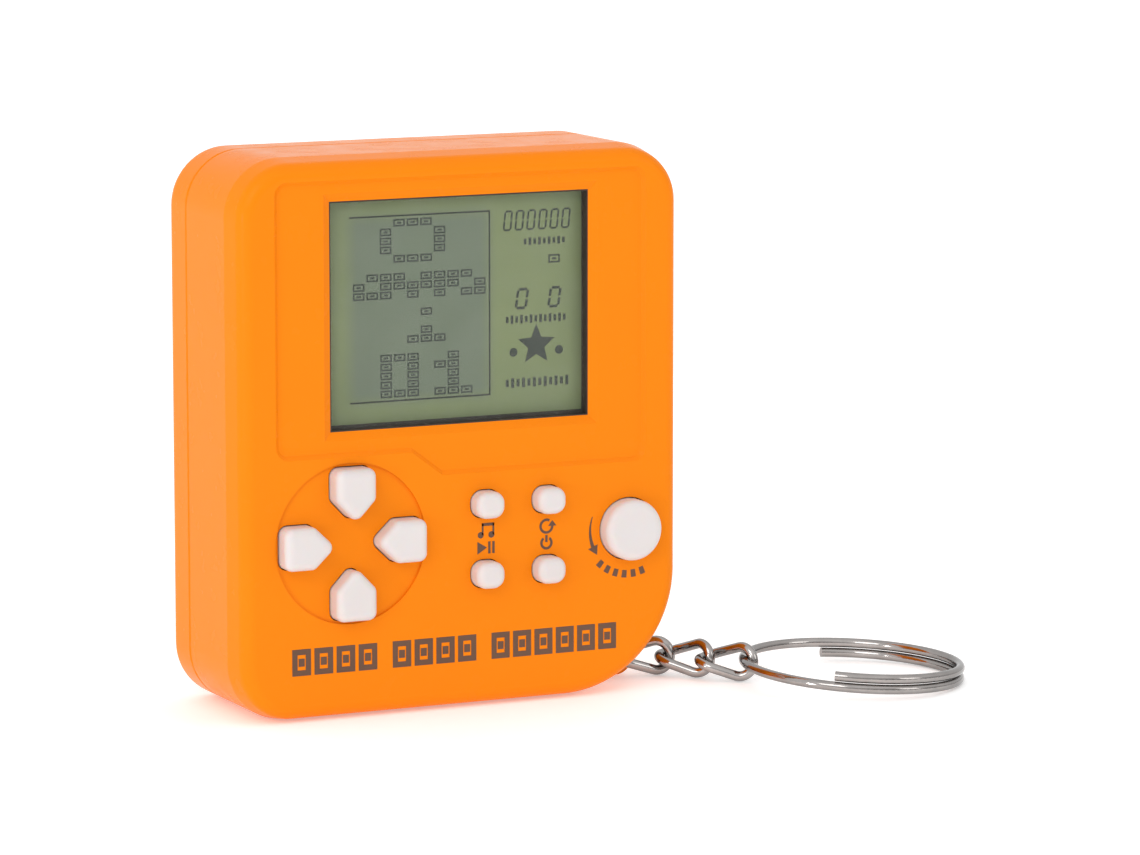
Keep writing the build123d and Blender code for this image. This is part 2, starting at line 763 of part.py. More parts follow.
for name, (x, z) in zip(("contact_negative", "contact_positive"), cell_places):
    with BuildPart() as contact:
        with BuildSketch(at_depth(contact_front)):
            with Locations((x, z)):
                RectangleRounded(contact_size, contact_size, contact_corner_radius)
        extrude(amount=-contact_thickness)
        with BuildSketch(at_depth(contact_front + contact_thickness)):
            with Locations((x, z)):
                Circle(contact_size / 4)
        extrude(amount=-contact_lift)
        with BuildSketch(at_depth(contact_front)):
            with Locations((x, z - contact_size / 2 + contact_thickness)):
                Rectangle(contact_tab_width, 2 * contact_thickness)
        extrude(amount=bay_floor + component_gap / 3)
    save(contact, name)

with BuildPart() as contact_bridge:
    with BuildSketch(at_depth(cell_back)):
        with Locations((bay_x, bay_z)):
            RectangleRounded(bay_width - 2 * cell_radius, contact_size, contact_corner_radius)
    extrude(amount=-contact_thickness)
save(contact_bridge, "contact_bridge")

# ---------------------------------------------------------------- buzzer
ceramic_front = case_depth - back_skin - buzzer_thickness - ceramic_thickness
for name, radius, front, thickness in (
    ("buzzer_disc", buzzer_radius, ceramic_front + ceramic_thickness, buzzer_thickness),
    ("buzzer_ceramic", ceramic_radius, ceramic_front, ceramic_thickness),
):
    with BuildPart() as disc:
        with BuildSketch(at_depth(front)):
            with Locations((buzzer_x, buzzer_z)):
                Circle(radius)
        extrude(amount=-thickness)
    save(disc, name)


def make_wire(name, points):
    """An insulated wire along straight runs and the largest arcs that its runs allow."""
    path = [Vector(*point) for point in points]
    runs = [after - before for before, after in zip(path, path[1:])]
    radii = [
        wire_bend_share * min(before.length, after.length) / tan(radians(before.get_angle(after)) / 2)
        for before, after in zip(runs, runs[1:])
    ]
    print(name, "bend radii", [round(radius, 2) for radius in radii])
    with BuildPart() as wire:
        with BuildLine() as line:
            FilletPolyline(path, radius=radii)
        with BuildSketch(Plane(origin=path[0], z_dir=runs[0])):
            Circle(wire_radius)
        sweep(path=line.wire())
    save(wire, name)


# the buzzer's wires drop from the disc's edge and its middle, lean left and meet the board
wire_board_y = y_at(board_back)
disc_front = ceramic_front + ceramic_thickness
for name, x, z, front in (
    ("buzzer_wire_red", buzzer_x, buzzer_z + ceramic_radius / 2, ceramic_front),
    ("buzzer_wire_black", buzzer_x - (buzzer_radius + ceramic_radius) / 2, buzzer_z, disc_front),
):
    top = y_at(front)
    end_x, end_z = x - buzzer_wire_lean, z + buzzer_wire_climb
    make_wire(name, [
        (x, top, z),
        (x, top - buzzer_wire_run, z),
        (end_x, wire_board_y + buzzer_wire_landing, end_z),
        (end_x, wire_board_y, end_z),
    ])

# the battery wires run under the bay's floor, from the contacts' tabs to the board
tab_z = bay_z - contact_size / 2
wire_y = y_at(board_back + component_gap / 2)
for name, (x, z), side in zip(("battery_wire_black", "battery_wire_red"), cell_places, (-1, 1)):
    bend_z = tab_z - battery_wire_run
    make_wire(name, [
        (x, wire_y, tab_z - wire_radius),
        (x, wire_y, bend_z),
        (x + side * battery_wire_lean, wire_y, bend_z - battery_wire_lean),
    ])

# ---------------------------------------------------------------- key chain


def heading(angle):
    """The level direction at this angle from +X, turning towards +Y."""
    return Vector(cos(radians(angle)), sin(radians(angle)), 0)


def make_link(name, near_crown, angle):
    """A curb link: an oval of wire whose near end lies level and whose far end stands upright."""
    frame = Plane(origin=near_crown, x_dir=heading(angle), z_dir=(0, 0, 1))
    strand = Vector(link_span, -link_corner_reach, link_corner_reach)
    bend = link_bend_share * link_corner_reach / tan(radians(Vector(0, 1, 0).get_angle(strand)) / 2)
    with BuildPart() as link:
        for side in (link_corner_reach, -link_corner_reach):
            with BuildLine(frame) as path:
                FilletPolyline((0, 0, 0), (0, side, 0), (link_span, 0, side), (link_span, 0, 0), radius=bend)
            with BuildSketch(Plane(origin=path.line @ 0, z_dir=path.line % 0)):
                Circle(link_wire_radius)
            sweep(path=path.wire())
    save(link, name)


crown = Vector(lug_x, 0, lug_z)
for i, angle in enumerate(link_headings):
    make_link(f"chain_link_{i + 1}", crown, angle)
    far_crown = crown + heading(angle) * link_span
    print(f"chain_link_{i + 1} far crown", [round(c, 3) for c in far_crown])
    following = (*link_headings[1:], ring_heading)[i]
    crown = far_crown - heading(following) * link_hook

# the ring's wire passes through the last link where the coil is single, then lies on the ground
ring_centre = crown + heading(ring_heading) * ring_path_radius
with BuildPart() as ring_coil:
    coil = Helix(ring_pitch, ring_pitch * ring_turns, ring_path_radius, lefthand=True, mode=Mode.PRIVATE)
    lean = Location((0, 0, 0), heading(ring_heading + 90), ring_tilt)
    turn = Location((0, 0, 0), (0, 0, ring_start))
    with BuildLine() as path:
        add(lean * turn * coil)
    with BuildSketch(Plane(origin=path.line @ 0, z_dir=path.line % 0)):
        Circle(ring_wire_radius)
    sweep(path=path.wire(), is_frenet=True)
with BuildPart() as split_ring:
    add(ring_coil.part.moved(Location((ring_centre.X, ring_centre.Y, -ring_coil.part.bounding_box().min.Z))))
save(split_ring, "split_ring")
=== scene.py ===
"""A pocket brick game on a key chain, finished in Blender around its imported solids."""

import json
from math import cos, pi, radians, sin

import bmesh
import bpy
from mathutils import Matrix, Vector


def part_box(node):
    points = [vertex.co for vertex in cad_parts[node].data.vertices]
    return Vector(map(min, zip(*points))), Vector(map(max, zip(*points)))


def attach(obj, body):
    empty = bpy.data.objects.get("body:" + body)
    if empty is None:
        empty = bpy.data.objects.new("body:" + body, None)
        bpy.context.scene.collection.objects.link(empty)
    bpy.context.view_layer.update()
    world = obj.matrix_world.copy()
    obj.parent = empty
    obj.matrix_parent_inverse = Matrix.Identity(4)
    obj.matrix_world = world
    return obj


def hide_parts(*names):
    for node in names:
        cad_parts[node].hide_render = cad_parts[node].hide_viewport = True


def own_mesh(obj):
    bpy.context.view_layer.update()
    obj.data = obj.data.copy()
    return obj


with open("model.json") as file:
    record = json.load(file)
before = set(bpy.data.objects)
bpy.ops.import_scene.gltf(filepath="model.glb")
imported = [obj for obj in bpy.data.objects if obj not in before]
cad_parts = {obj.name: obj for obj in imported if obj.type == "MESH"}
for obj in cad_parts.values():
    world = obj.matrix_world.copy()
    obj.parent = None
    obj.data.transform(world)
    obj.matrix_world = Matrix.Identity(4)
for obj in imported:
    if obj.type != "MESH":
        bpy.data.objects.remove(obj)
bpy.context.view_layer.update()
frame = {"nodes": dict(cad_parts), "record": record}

MM = 0.001

# ------------------------------------------------------------------ places, read from the frame
lens_low, lens_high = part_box("screen_lens")
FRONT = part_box("front_case")[0].y        # the front face's plane
FILM_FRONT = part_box("lcd_polariser")[0].y
WINDOW_WIDTH = 31.2 * MM
WINDOW_HEIGHT = 25.3 * MM
WINDOW_MIDDLE = (lens_low.z + lens_high.z) / 2


def key_middle(name):
    """Where a key stands, seen from the front."""
    low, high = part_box(f"key_{name}")
    return (low.x + high.x) / 2, (low.z + high.z) / 2


# ------------------------------------------------------------------ shader helpers
def new_material(name):
    """A material with an empty Principled surface, and its node tree."""
    mat = bpy.data.materials.new(name)
    mat.use_nodes = True
    tree = mat.node_tree
    tree.nodes.clear()
    out = tree.nodes.new("ShaderNodeOutputMaterial")
    shader = tree.nodes.new("ShaderNodeBsdfPrincipled")
    tree.links.new(shader.outputs["BSDF"], out.inputs["Surface"])
    return mat, tree, shader


def coordinates(tree, scale=(1, 1, 1)):
    """The object's own coordinates, in metres, scaled."""
    coord = tree.nodes.new("ShaderNodeTexCoord")
    mapping = tree.nodes.new("ShaderNodeMapping")
    mapping.inputs["Scale"].default_value = scale
    tree.links.new(coord.outputs["Object"], mapping.inputs["Vector"])
    return mapping.outputs["Vector"]


def noise(tree, vector, scale, detail=4.0, roughness=0.5):
    """A noise value at so many cells per metre."""
    node = tree.nodes.new("ShaderNodeTexNoise")
    node.inputs["Scale"].default_value = scale
    node.inputs["Detail"].default_value = detail
    node.inputs["Roughness"].default_value = roughness
    tree.links.new(vector, node.inputs["Vector"])
    return node.outputs["Fac"]


def ramp(tree, value, stops):
    """Colours along a value from 0 to 1."""
    node = tree.nodes.new("ShaderNodeValToRGB")
    elements = node.color_ramp.elements
    while len(elements) < len(stops):
        elements.new(0.5)
    for element, (position, colour) in zip(elements, stops):
        element.position = position
        element.color = (*colour, 1)
    tree.links.new(value, node.inputs["Fac"])
    return node.outputs["Color"]


def remap(tree, value, low, high, from_low=0.0, from_high=1.0):
    """A value carried from one range to another."""
    node = tree.nodes.new("ShaderNodeMapRange")
    node.inputs["From Min"].default_value = from_low
    node.inputs["From Max"].default_value = from_high
    node.inputs["To Min"].default_value = low
    node.inputs["To Max"].default_value = high
    tree.links.new(value, node.inputs["Value"])
    return node.outputs["Result"]


def mix(tree, factor, first, second, blend="MIX"):
    """Two colours mixed by a factor, each a socket or a plain value."""
    node = tree.nodes.new("ShaderNodeMix")
    node.data_type = "RGBA"
    node.blend_type = blend
    for socket, value in ((node.inputs[0], factor), (node.inputs[6], first), (node.inputs[7], second)):
        if isinstance(value, bpy.types.NodeSocket):
            tree.links.new(value, socket)
        elif isinstance(value, tuple):
            socket.default_value = (*value, 1)
        else:
            socket.default_value = value
    return node.outputs[2]


def math(tree, operation, first, second=None):
    """One arithmetic step on sockets or numbers."""
    node = tree.nodes.new("ShaderNodeMath")
    node.operation = operation
    for socket, value in zip(node.inputs, (first, second)):
        if isinstance(value, bpy.types.NodeSocket):
            tree.links.new(value, socket)
        elif value is not None:
            socket.default_value = value
    return node.outputs[0]


def bump(tree, shader, height, distance, strength=1.0):
    """Surface relief from a height value, this many metres deep."""
    node = tree.nodes.new("ShaderNodeBump")
    node.inputs["Distance"].default_value = distance
    node.inputs["Strength"].default_value = strength
    tree.links.new(height, node.inputs["Height"])
    tree.links.new(node.outputs["Normal"], shader.inputs["Normal"])


def spread(colour, amount):
    """A darker and a lighter version of a colour."""
    return tuple(c * (1 - amount) for c in colour), tuple(min(1.0, c * (1 + amount)) for c in colour)


def moulded(name, colour, rough=(0.3, 0.4), grain=9000, depth=2e-6, vary=0.05, **shader_values):
    """Moulded plastic, rubber or film: a fine grain, slow colour drift and uneven gloss."""
    mat, tree, shader = new_material(name)
    where = coordinates(tree)
    dark, light = spread(colour, vary)
    drift = noise(tree, where, 90, 3)
    tree.links.new(ramp(tree, drift, [(0.3, dark), (0.7, light)]), shader.inputs["Base Color"])
    tree.links.new(remap(tree, noise(tree, where, 350, 5), *rough, 0.3, 0.7), shader.inputs["Roughness"])
    bump(tree, shader, noise(tree, where, grain, 2), depth)
    for socket, value in shader_values.items():
        shader.inputs[socket.replace("_", " ")].default_value = value
    return mat


def metal(name, colour, rough=(0.1, 0.25), scratch=(4000, 400, 4000), depth=1e-6, painted_dark_rim=0.0):
    """Plated or drawn metal with faint streaks and worn patches; a painted dark reflection, when asked for,
    darkens its colour towards its edges, where the surface turns away from view.
    """
    mat, tree, shader = new_material(name)
    dark, light = spread(colour, 0.12)
    streaks = noise(tree, coordinates(tree, scratch), 1.0, 4, 0.6)
    wear = noise(tree, coordinates(tree), 260, 5, 0.6)
    base = ramp(tree, wear, [(0.35, dark), (0.65, light)])
    # painted dark reflection: the colour is darkened by how far the surface turns away from view
    if painted_dark_rim:
        facing = tree.nodes.new("ShaderNodeLayerWeight")
        facing.inputs["Blend"].default_value = 0.35
        shade = tuple(c * (1 - painted_dark_rim) for c in colour)
        base = mix(tree, facing.outputs["Facing"], base, shade)
    tree.links.new(base, shader.inputs["Base Color"])
    tree.links.new(remap(tree, streaks, *rough, 0.3, 0.7), shader.inputs["Roughness"])
    shader.inputs["Metallic"].default_value = 1.0
    bump(tree, shader, streaks, depth)
    return mat


# ------------------------------------------------------------------ materials
def orange_plastic():
    """The case: satin orange plastic with fine moulding grain and little glare at its edges."""
    return moulded("orange_plastic", (0.88, 0.226, 0.006), (0.2, 0.29), 7000, 2.5e-6, 0.012, IOR=1.13)


def display_film():
    """The display's grey-green face, greyer and blotchy inside the playing field."""
    mat, tree, shader = new_material("display_film")
    where = coordinates(tree)
    split = tree.nodes.new("ShaderNodeSeparateXYZ")
    tree.links.new(where, split.inputs["Vector"])
    left, right, low, high = FIELD
    soft = 0.9 * MM
    inside = None
    for axis, edge, sign in (("X", left, 1), ("X", right, -1), ("Z", low, 1), ("Z", high, -1)):
        edges = (edge - soft, edge + soft) if sign > 0 else (edge + soft, edge - soft)
        step = remap(tree, split.outputs[axis], 0, 1, *edges)
        inside = step if inside is None else math(tree, "MULTIPLY", inside, step)
    clouds = noise(tree, where, 130, 4, 0.55)
    outer = ramp(tree, clouds, [(0.3, (0.168, 0.203, 0.086)), (0.7, (0.193, 0.230, 0.101))])
    inner = ramp(tree, clouds, [(0.3, (0.120, 0.149, 0.101)), (0.7, (0.140, 0.170, 0.116))])
    tree.links.new(mix(tree, inside, outer, inner), shader.inputs["Base Color"])
    gloss = remap(tree, noise(tree, where, 600, 3), 0.42, 0.55, 0.3, 0.7)
    tree.links.new(gloss, shader.inputs["Roughness"])
    bump(tree, shader, noise(tree, where, 12000, 2), 1e-6)
    return mat


def clear_plastic():
    """The screen's clear window: thin, glossy, with a trace of haze."""
    mat, tree, shader = new_material("clear_plastic")
    clear = tree.nodes.new("ShaderNodeBsdfTransparent")
    clear.inputs["Color"].default_value = (0.97, 0.98, 0.97, 1)
    blend = tree.nodes.new("ShaderNodeMixShader")
    haze = noise(tree, coordinates(tree), 240, 4)
    tree.links.new(remap(tree, haze, 0.02, 0.04, 0.3, 0.7), blend.inputs["Fac"])
    shader.inputs["Base Color"].default_value = (0.75, 0.8, 0.74, 1)
    tree.links.new(remap(tree, haze, 0.12, 0.2, 0.3, 0.7), shader.inputs["Roughness"])
    tree.links.new(clear.outputs["BSDF"], blend.inputs[1])
    tree.links.new(shader.outputs["BSDF"], blend.inputs[2])
    tree.links.new(blend.outputs["Shader"], tree.nodes["Material Output"].inputs["Surface"])
    return mat


def circuit_board():
    """Green solder mask with traces just showing through it."""
    mat, tree, shader = new_material("solder_mask")
    where = coordinates(tree)
    lines = tree.nodes.new("ShaderNodeTexBrick")
    lines.inputs["Scale"].default_value = 260
    lines.inputs["Mortar Size"].default_value = 0.03
    lines.inputs["Color1"].default_value = (0.012, 0.085, 0.03, 1)
    lines.inputs["Color2"].default_value = (0.016, 0.105, 0.038, 1)
    lines.inputs["Mortar"].default_value = (0.045, 0.2, 0.07, 1)
    turned = tree.nodes.new("ShaderNodeMapping")
    turned.inputs["Rotation"].default_value = (radians(90), 0, 0)
    tree.links.new(where, turned.inputs["Vector"])
    tree.links.new(turned.outputs["Vector"], lines.inputs["Vector"])
    tree.links.new(lines.outputs["Color"], shader.inputs["Base Color"])
    tree.links.new(remap(tree, noise(tree, where, 500, 4), 0.2, 0.35, 0.3, 0.7), shader.inputs["Roughness"])
    bump(tree, shader, lines.outputs["Fac"], 2e-5, 0.5)
    return mat


def striped_rubber():
    """A zebra strip: thin carbon layers between clear rubber ones."""
    mat, tree, shader = new_material("striped_rubber")
    wave = tree.nodes.new("ShaderNodeTexWave")
    wave.bands_direction = "X"
    wave.inputs["Scale"].default_value = 2200
    tree.links.new(coordinates(tree), wave.inputs["Vector"])
    bands = ramp(tree, wave.outputs["Fac"], [(0.45, (0.6, 0.45, 0.42)), (0.55, (0.03, 0.03, 0.03))])
    tree.links.new(bands, shader.inputs["Base Color"])
    shader.inputs["Roughness"].default_value = 0.6
    return mat


# ------------------------------------------------------------------ mesh helpers
def make_object(name, bm, mat, body="case"):
    """Turns a bmesh into a piece that rides on a body."""
    bmesh.ops.recalc_face_normals(bm, faces=bm.faces)
    mesh = bpy.data.meshes.new(name)
    bm.to_mesh(mesh)
    bm.free()
    piece = bpy.data.objects.new(name, mesh)
    bpy.context.scene.collection.objects.link(piece)
    mesh.materials.append(mat)
    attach(piece, body)
    return piece


def add_plate(bm, outline, front, thickness, hole=None):
    """A flat plate facing the player: an outline of (x, z) points and an optional hole, in the same order."""
    if hole is None:
        rings = [[bm.verts.new((x, y, z)) for x, z in outline] for y in (front, front + thickness)]
        bm.faces.new(rings[0])
        bm.faces.new(list(reversed(rings[1])))
        count = len(outline)
        for i in range(count):
            j = (i + 1) % count
            bm.faces.new((rings[0][j], rings[0][i], rings[1][i], rings[1][j]))
        return
    back = front + thickness
    loops = [[bm.verts.new((x, y, z)) for x, z in loop]
             for loop, y in ((outline, front), (hole, front), (hole, back), (outline, back))]
    count = len(outline)
    for a, b in ((0, 1), (1, 2), (2, 3), (3, 0)):
        for i in range(count):
            j = (i + 1) % count
            bm.faces.new((loops[a][i], loops[a][j], loops[b][j], loops[b][i]))


def rectangle(x, z, width, height, lean=0.0):
    """Corner points of an upright or leaning rectangle about its middle."""
    w, h = width / 2, height / 2
    return [(x - w - lean, z - h), (x + w - lean, z - h), (x + w + lean, z + h), (x - w + lean, z + h)]


def disc(x, z, radius, count=40):
    """Points round a circle."""
    turns = [2 * pi * i / count for i in range(count)]
    return [(x + radius * cos(t), z + radius * sin(t)) for t in turns]


def arc_band(x, z, radius, width, start, end, count=24):
    """The outline of a curved stroke, between two angles in degrees."""
    turns = [radians(start + (end - start) * i / count) for i in range(count + 1)]
    far, near = radius + width / 2, radius - width / 2
    outer = [(x + far * cos(t), z + far * sin(t)) for t in turns]
    inner = [(x + near * cos(t), z + near * sin(t)) for t in reversed(turns)]
    return outer + inner


# ------------------------------------------------------------------ display
FIELD_LEFT = -12.55 * MM                 # the playing field's frame
FIELD_RIGHT = 4.2 * MM
FIELD_TOP = WINDOW_MIDDLE + 10.6 * MM
FIELD_LOW = WINDOW_MIDDLE - 9.85 * MM
FIELD = (FIELD_LEFT, FIELD_RIGHT, FIELD_LOW, FIELD_TOP)
FIELD_MARGIN = 0.28 * MM
FIELD_COLUMNS = 10
FIELD_ROWS = 20
CELL_WIDE = (FIELD_RIGHT - FIELD_LEFT - 2 * FIELD_MARGIN) / FIELD_COLUMNS
CELL_HIGH = (FIELD_TOP - FIELD_LOW - 2 * FIELD_MARGIN) / FIELD_ROWS
INK_THICKNESS = 0.012 * MM
INK_FRONT = FILM_FRONT - INK_THICKNESS
BLOCK_LINE = 0.19 * MM                   # strokes of the blocks and of the field's frame
BLOCK_SHARE = (0.86, 0.85)               # of a cell's width and height
SIDE_MIDDLE = 10.1 * MM                  # of the column of signs to the right of the field

# which cells of the playing field are dark, from the top row down
PATTERN = {
    0: "...###....",
    1: "..#...#...",
    2: "..#...#...",
    3: "..#...#...",
    4: "...###....",
    6: ".###.####.",
    7: "#.######.#",
    8: "###.#.#.##",
    10: ".....#....",
    12: ".....#....",
    13: "....###...",
    15: "..###..#..",
    16: "..#.#.##..",
    17: "..#.#..#..",
    18: "..#.#..#..",
    19: "..###.###.",
}


def add_ink(bm, outline, hole=None):
    """A dark shape on the display."""
    add_plate(bm, outline, INK_FRONT, INK_THICKNESS, hole)


def add_cell(bm, x, z, width, height):
    """A display block: an open frame with a bar in it."""
    hole = rectangle(x, z, width - 2 * BLOCK_LINE, height - 2 * BLOCK_LINE)
    add_ink(bm, rectangle(x, z, width, height), hole)
    add_ink(bm, rectangle(x, z, width * 0.36, height * 0.26))


def add_digit(bm, x, z, width, height, segments="abcdef"):
    """A seven-segment figure; its upright strokes lean a little."""
    line = 0.21 * width
    lean = 0.1 * width
    # segment: how far across and up from the middle, and whether it lies level
    places = {
        "a": (0, 0.5, True), "g": (0, 0, True), "d": (0, -0.5, True),
        "f": (-0.5, 0.25, False), "b": (0.5, 0.25, False),
        "e": (-0.5, -0.25, False), "c": (0.5, -0.25, False),
    }
    for segment in segments:
        across, up, level = places[segment]
        size = (width - 1.7 * line, line) if level else (line, height / 2 - 1.2 * line)
        middle = x + across * (width - line) + 2 * lean * up
        add_ink(bm, rectangle(middle, z + up * (height - line), *size, 0 if level else lean / 2))


def add_caption(bm, x, z, width, height, count):
    """A row of small upright bars where a caption would be."""
    step = width / count
    for i in range(count):
        tall = height * (0.75 + 0.25 * (i % 2))
        add_ink(bm, rectangle(x - width / 2 + (i + 0.5) * step, z, 0.55 * step, tall))


def make_display(ink, faint):
    """What the display shows: the field's frame, its blocks, and the figures and signs beside it."""
    strokes = bmesh.new()
    middle_x = (FIELD_LEFT + FIELD_RIGHT) / 2
    middle_z = (FIELD_TOP + FIELD_LOW) / 2
    for z in (FIELD_TOP, FIELD_LOW):
        add_ink(strokes, rectangle(middle_x, z, FIELD_RIGHT - FIELD_LEFT, BLOCK_LINE))
    tall = FIELD_TOP - FIELD_LOW + BLOCK_LINE
    add_ink(strokes, rectangle(FIELD_RIGHT + BLOCK_LINE / 2, middle_z, BLOCK_LINE, tall))
    make_object("display_frame_lines", strokes, ink)

    blocks = bmesh.new()
    wide_share, high_share = BLOCK_SHARE
    for row, cells in PATTERN.items():
        z = FIELD_TOP - FIELD_MARGIN - (row + 0.5) * CELL_HIGH
        for column, cell in enumerate(cells):
            x = FIELD_LEFT + FIELD_MARGIN + (column + 0.5) * CELL_WIDE
            if cell == "#":
                add_cell(blocks, x, z, wide_share * CELL_WIDE, high_share * CELL_HIGH)
    make_object("display_blocks", blocks, faint)

    # from the top down: six zeros, a caption, a block, two zeros, a caption, a star and a caption
    side = bmesh.new()
    score_digits, score_pitch = 6, 1.42 * MM
    for i in range(score_digits):
        x = SIDE_MIDDLE + (i - (score_digits - 1) / 2) * score_pitch
        add_digit(side, x, WINDOW_MIDDLE + 9.4 * MM, 1.05 * MM, 2.3 * MM)
    add_caption(side, SIDE_MIDDLE + 0.9 * MM, WINDOW_MIDDLE + 7.0 * MM, 5.3 * MM, 0.85 * MM, 9)
    add_cell(side, SIDE_MIDDLE + 2.1 * MM, WINDOW_MIDDLE + 4.95 * MM, 1.4 * MM, 0.95 * MM)
    for x in (-1.85, 2.15):
        add_digit(side, SIDE_MIDDLE + x * MM, WINDOW_MIDDLE + 0.65 * MM, 1.5 * MM, 2.4 * MM)
    add_caption(side, SIDE_MIDDLE - 0.15 * MM, WINDOW_MIDDLE - 1.65 * MM, 7.6 * MM, 0.95 * MM, 13)
    add_caption(side, SIDE_MIDDLE, WINDOW_MIDDLE - 8.75 * MM, 8.0 * MM, 1.1 * MM, 12)
    star_x, star_z = SIDE_MIDDLE - 0.1 * MM, WINDOW_MIDDLE - 4.6 * MM
    star_reach, star_notch, star_corners = 2.35, 1.05, 10
    corners = ((star_notch if i % 2 else star_reach, pi / 2 + i * 2 * pi / star_corners)
               for i in range(star_corners))
    add_ink(side, [(star_x + r * MM * cos(t), star_z + r * MM * sin(t)) for r, t in corners])
    for x in (-2.9, 2.7):
        add_ink(side, disc(SIDE_MIDDLE + x * MM, WINDOW_MIDDLE - 5.3 * MM, 0.5 * MM, 20))
    make_object("display_side_signs", side, faint)


def make_window_surround(dark):
    """A dark sheet on the window's walls and a dark band behind the clear window, both painted shade: the one
    stands for the shadow on the walls, the other for the dark gap round the display.
    """
    # painted shade: a dark sheet lining the window's walls, where they lie in shadow
    liner = bmesh.new()
    wall = 0.14 * MM
    wall_gap = 0.02 * MM                 # in the width and in the height, so that it clears the case
    lens_gap = 0.01 * MM
    front = FRONT + 0.92 * MM
    depth = lens_low.y - front - lens_gap
    outer = rectangle(0, WINDOW_MIDDLE, WINDOW_WIDTH - wall_gap, WINDOW_HEIGHT - wall_gap)
    hole = rectangle(0, WINDOW_MIDDLE, WINDOW_WIDTH - 2 * wall, WINDOW_HEIGHT - 2 * wall)
    add_plate(liner, outer, front, depth, hole)
    make_object("window_painted_shade_liner", liner, dark)

    # painted shade: a dark band behind the clear window, for the dark gap round the display
    # how far the border shows inside the window, side by side
    border = bmesh.new()
    left, right, low, high = 0.12 * MM, 0.05 * MM, 0.5 * MM, 0.1 * MM
    x_low, x_high = -WINDOW_WIDTH / 2 + left, WINDOW_WIDTH / 2 - right
    z_low, z_high = WINDOW_MIDDLE - WINDOW_HEIGHT / 2 + low, WINDOW_MIDDLE + WINDOW_HEIGHT / 2 - high
    hole = [(x_low, z_low), (x_high, z_low), (x_high, z_high), (x_low, z_high)]
    outer = rectangle(0, WINDOW_MIDDLE, WINDOW_WIDTH + 2 * MM, WINDOW_HEIGHT + 2 * MM)
    border_gap, border_thickness = 0.005 * MM, 0.02 * MM
    add_plate(border, outer, lens_high.y + border_gap, border_thickness, hole)
    make_object("window_painted_shade_border", border, dark)


# ------------------------------------------------------------------ printed signs on the case
PRINT_THICKNESS = 0.03 * MM
PRINT_FRONT = FRONT - PRINT_THICKNESS


def add_print(bm, outline, hole=None):
    """A printed shape on the case's face."""
    add_plate(bm, outline, PRINT_FRONT, PRINT_THICKNESS, hole)


def make_title_strip(ink):
    """Three groups of bold blocks along the lower edge, like the blocks on the display."""
    strip = bmesh.new()
    left, right, low, high = -20.9 * MM, 18.9 * MM, 5.35 * MM, 8.3 * MM
    groups = (4, 4, 6)
    space = 0.55                         # between two groups, in steps
    step = (right - left) / (sum(groups) + space * (len(groups) - 1))
    z, tall, wide, stroke = (low + high) / 2, high - low, 0.84 * step, 0.62 * MM
    x = left + step / 2
    for count in groups:
        for _ in range(count):
            hole = rectangle(x, z, wide - 2 * stroke, tall - 2 * stroke)
            add_print(strip, rectangle(x, z, wide, tall), hole)
            add_print(strip, rectangle(x, z, 0.32 * wide, 0.3 * tall))
            x += step
        x += space * step
    make_object("title_strip", strip, ink)


def make_key_signs(ink):
    """A note, start and pause, reset and power signs between the small keys."""
    signs = bmesh.new()
    music_x, music_z = key_middle("music")
    reset_x, _ = key_middle("reset")
    _, start_z = key_middle("start_pause")
    upper = music_z - (music_z - start_z) * 0.39
    lower = music_z - (music_z - start_z) * 0.63
    stroke = 0.28 * MM

    # two joined notes
    stem_reach, stem_middle, stem_width, stem_tall = 0.24, 0.2 * MM, 0.2 * MM, 1.3 * MM
    for x in (-0.55, 0.75):
        add_print(signs, disc(music_x + x * MM, upper - 0.45 * MM, 0.36 * MM, 24))
        stem_x = music_x + (x + stem_reach) * MM
        add_print(signs, rectangle(stem_x, upper + stem_middle, stem_width, stem_tall))
    add_print(signs, rectangle(music_x + 0.34 * MM, upper + 0.72 * MM, 1.5 * MM, 0.32 * MM))

    # start and pause
    arrow_back, arrow_tip, arrow_half = music_x - 0.95 * MM, music_x + 0.2 * MM, 0.7 * MM
    add_print(signs, [(arrow_back, lower - arrow_half), (arrow_tip, lower), (arrow_back, lower + arrow_half)])
    for x in (0.5, 1.0):
        add_print(signs, rectangle(music_x + x * MM, lower, stroke, 1.35 * MM))

    # reset: three quarters of a circle and an arrow head
    loop_radius, head_half, head_length = 0.72 * MM, 0.5 * MM, 0.62 * MM
    add_print(signs, arc_band(reset_x, upper, loop_radius, stroke, 60, 360))
    tip_x = reset_x + loop_radius
    add_print(signs, [(tip_x - head_half, upper), (tip_x + head_half, upper), (tip_x, upper + head_length)])

    # power: an open circle and a stroke
    add_print(signs, arc_band(reset_x, lower, 0.62 * MM, stroke, 125, 415))
    add_print(signs, rectangle(reset_x, lower + 0.48 * MM, stroke, 0.8 * MM))
    make_object("key_signs", signs, ink)


